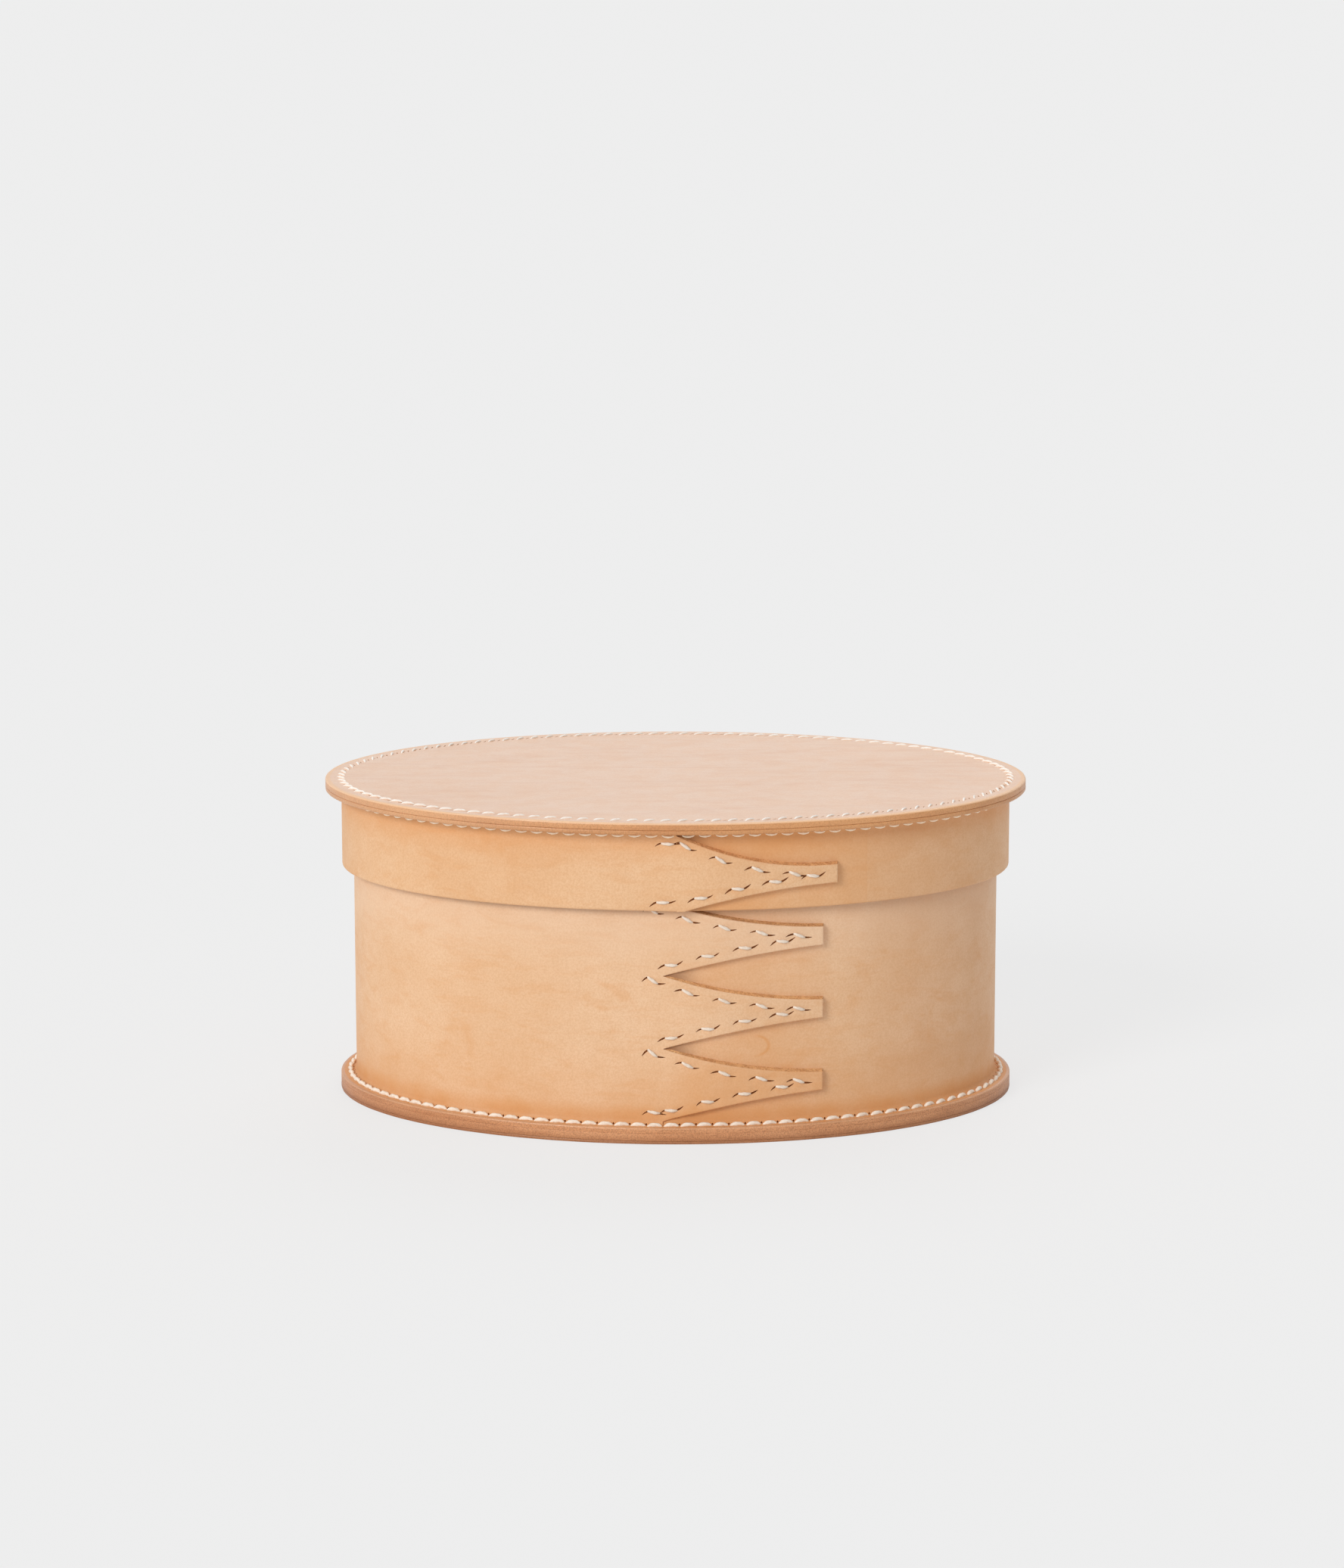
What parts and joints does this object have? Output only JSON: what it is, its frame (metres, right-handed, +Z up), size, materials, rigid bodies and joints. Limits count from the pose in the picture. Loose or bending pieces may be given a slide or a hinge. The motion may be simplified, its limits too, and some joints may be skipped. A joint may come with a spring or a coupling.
{
  "type": "oval collar box",
  "caption": "Oval leather box with a lift-off lid; wall and lid band are strips lapped at the front in swallowtail fingers and sewn with thick waxed thread.",
  "frame": {"origin": "centre of the flat underside, on the surface that the box stands on", "axes": "+X along the oval's length, towards the side that the fingers point to; -Y out of the lapped front; +Z up"},
  "size_m": [0.22, 0.1608, 0.1003],
  "materials": {
    "leather_wall": "natural vegetable-tanned leather, matt, fine grain",
    "leather_lid": "natural vegetable-tanned leather, matt, pale, faint wrinkles",
    "leather_base": "natural vegetable-tanned leather with a burnished edge",
    "waxed_thread": "thick off-white waxed linen thread"
  },
  "bodies": {
    "box": {"bottom_sole": "leather_base", "base_plate": "leather_base", "body_wall": "leather_wall", "base_seam_thread": "waxed_thread", "body_finger_thread": "waxed_thread"},
    "lid": {"lid_plate": "leather_lid", "lid_band": "leather_wall", "lid_seam_thread": "waxed_thread", "lid_finger_thread": "waxed_thread"}
  },
  "joints": [
    {"name": "lid_lift", "type": "slide", "parent": "box", "child": "lid", "axis": [0, 0, 1], "range_m": [0, 0.06]}
  ]
}
